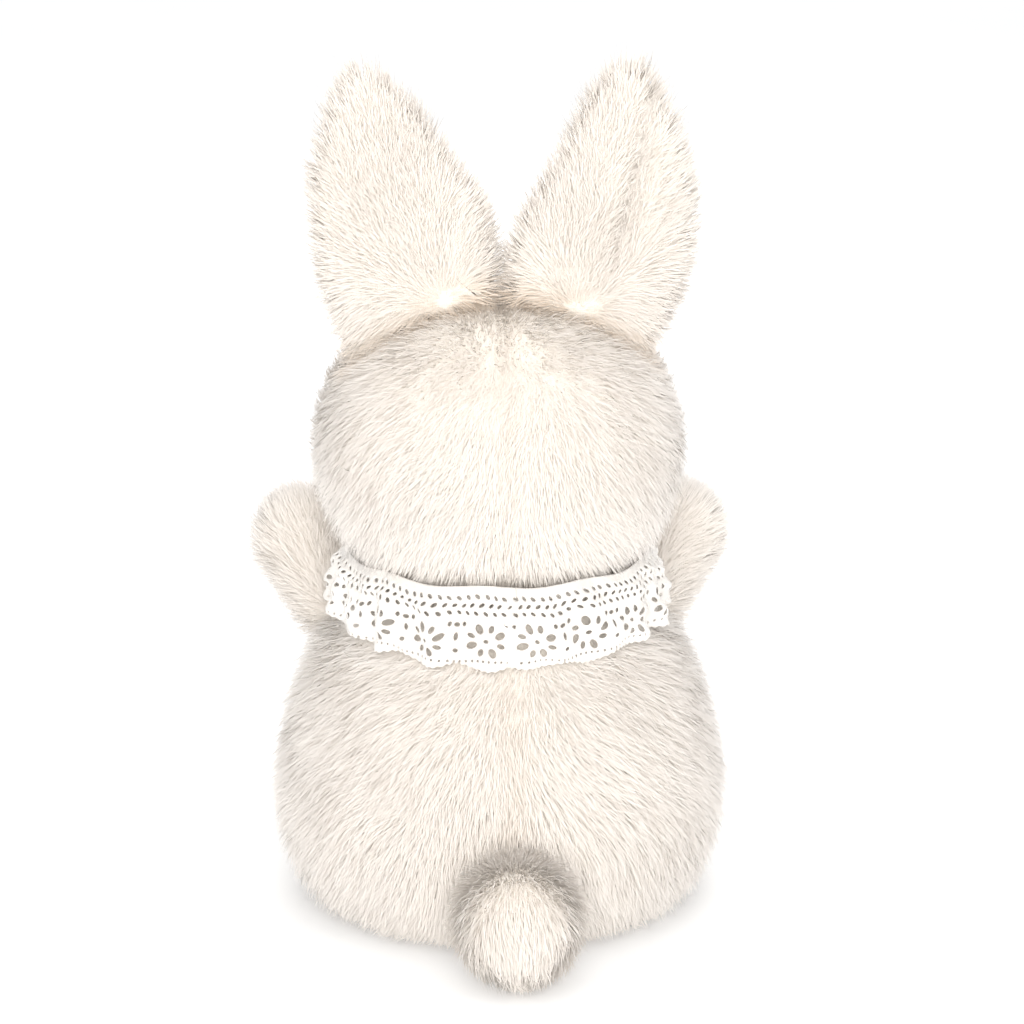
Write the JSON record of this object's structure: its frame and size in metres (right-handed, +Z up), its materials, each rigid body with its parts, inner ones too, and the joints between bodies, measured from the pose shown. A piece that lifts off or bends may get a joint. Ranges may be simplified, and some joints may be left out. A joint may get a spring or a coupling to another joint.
{
  "type": "stuffed bunny rabbit",
  "caption": "Seated long-pile stuffed rabbit with upright ears, stubby raised arms, a pom-pom tail and a gathered lace collar.",
  "frame": {"origin": "middle of the flat seat, on the surface that the rabbit sits on", "axes": "+Z up, the rabbit faces -Y, its own left is +X"},
  "size_m": [0.155, 0.214, 0.2706],
  "materials": {
    "fur_fabric": "matte",
    "velour": "matte",
    "polyester_fibre": "matte",
    "pouch_cotton": "matte",
    "cotton_lace": "matte",
    "cotton_tape": "matte",
    "eye_plastic": "gloss",
    "washer_plastic": "matte",
    "nose_thread": "satin"
  },
  "bodies": {
    "torso": {"base_panel": "fur_fabric", "belly_panel": "fur_fabric", "back_panel_left": "fur_fabric", "back_panel_right": "fur_fabric", "body_stuffing": "polyester_fibre", "pellet_pouch": "pouch_cotton", "lace_collar": "cotton_lace", "collar_neckband": "cotton_tape"},
    "neck": {"neck_stuffing": "polyester_fibre"},
    "head": {"head_back_left": "fur_fabric", "head_back_right": "fur_fabric", "face_left": "fur_fabric", "face_right": "fur_fabric", "head_stuffing": "polyester_fibre", "eye_left": "eye_plastic", "eye_right": "eye_plastic", "eye_washer_left": "washer_plastic", "eye_washer_right": "washer_plastic", "nose": "nose_thread", "mouth_stitches": "nose_thread"},
    "tail": {"tail_cover": "fur_fabric", "tail_stuffing": "polyester_fibre"},
    "left_ear": {"ear_back_left": "fur_fabric", "ear_batting_left": "polyester_fibre", "ear_lining_left": "velour"},
    "left_arm": {"arm_outer_left": "fur_fabric", "arm_inner_left": "fur_fabric", "arm_stuffing_left": "polyester_fibre"},
    "left_leg": {"leg_cover_left": "fur_fabric", "leg_stuffing_left": "polyester_fibre", "sole_pad_left": "velour"},
    "right_ear": {"ear_back_right": "fur_fabric", "ear_batting_right": "polyester_fibre", "ear_lining_right": "velour"},
    "right_arm": {"arm_outer_right": "fur_fabric", "arm_inner_right": "fur_fabric", "arm_stuffing_right": "polyester_fibre"},
    "right_leg": {"leg_cover_right": "fur_fabric", "leg_stuffing_right": "polyester_fibre", "sole_pad_right": "velour"}
  },
  "joints": [
    {"name": "neck_turn", "type": "hinge", "parent": "torso", "child": "neck", "pos_m": [0, -0.002, 0.103], "axis": [0, 0, 1], "range_deg": [-25, 25], "stiffness_Nm_per_rad": 0.5},
    {"name": "head_nod", "type": "hinge", "parent": "neck", "child": "head", "pos_m": [0, -0.002, 0.103], "axis": [1, 0, 0], "range_deg": [-8, 6], "stiffness_Nm_per_rad": 1.2},
    {"name": "left_ear_fold", "type": "hinge", "parent": "head", "child": "left_ear", "pos_m": [0.005, 0.006, 0.204], "axis": [0.8957, 0, -0.4446], "range_deg": [-12, 50], "stiffness_Nm_per_rad": 0.05},
    {"name": "left_arm_swing", "type": "hinge", "parent": "torso", "child": "left_arm", "pos_m": [0.054, -0.038, 0.09], "axis": [1, 0, 0], "range_deg": [-25, 40], "stiffness_Nm_per_rad": 0.06},
    {"name": "left_leg_lift", "type": "hinge", "parent": "torso", "child": "left_leg", "pos_m": [0.041, -0.0712, 0.016], "axis": [-1, 0, 0], "range_deg": [0, 40], "stiffness_Nm_per_rad": 0.15},
    {"name": "right_ear_fold", "type": "hinge", "parent": "head", "child": "right_ear", "pos_m": [-0.005, 0.006, 0.204], "axis": [0.8957, 0, 0.4446], "range_deg": [-12, 50], "stiffness_Nm_per_rad": 0.05},
    {"name": "right_arm_swing", "type": "hinge", "parent": "torso", "child": "right_arm", "pos_m": [-0.054, -0.038, 0.09], "axis": [1, 0, 0], "range_deg": [-25, 40], "stiffness_Nm_per_rad": 0.06},
    {"name": "right_leg_lift", "type": "hinge", "parent": "torso", "child": "right_leg", "pos_m": [-0.041, -0.0712, 0.016], "axis": [-1, 0, 0], "range_deg": [0, 40], "stiffness_Nm_per_rad": 0.15},
    {"name": "tail_lift", "type": "hinge", "parent": "torso", "child": "tail", "pos_m": [0, 0.068, 0.021], "axis": [1, 0, 0], "range_deg": [-8, 15], "stiffness_Nm_per_rad": 0.04}
  ]
}
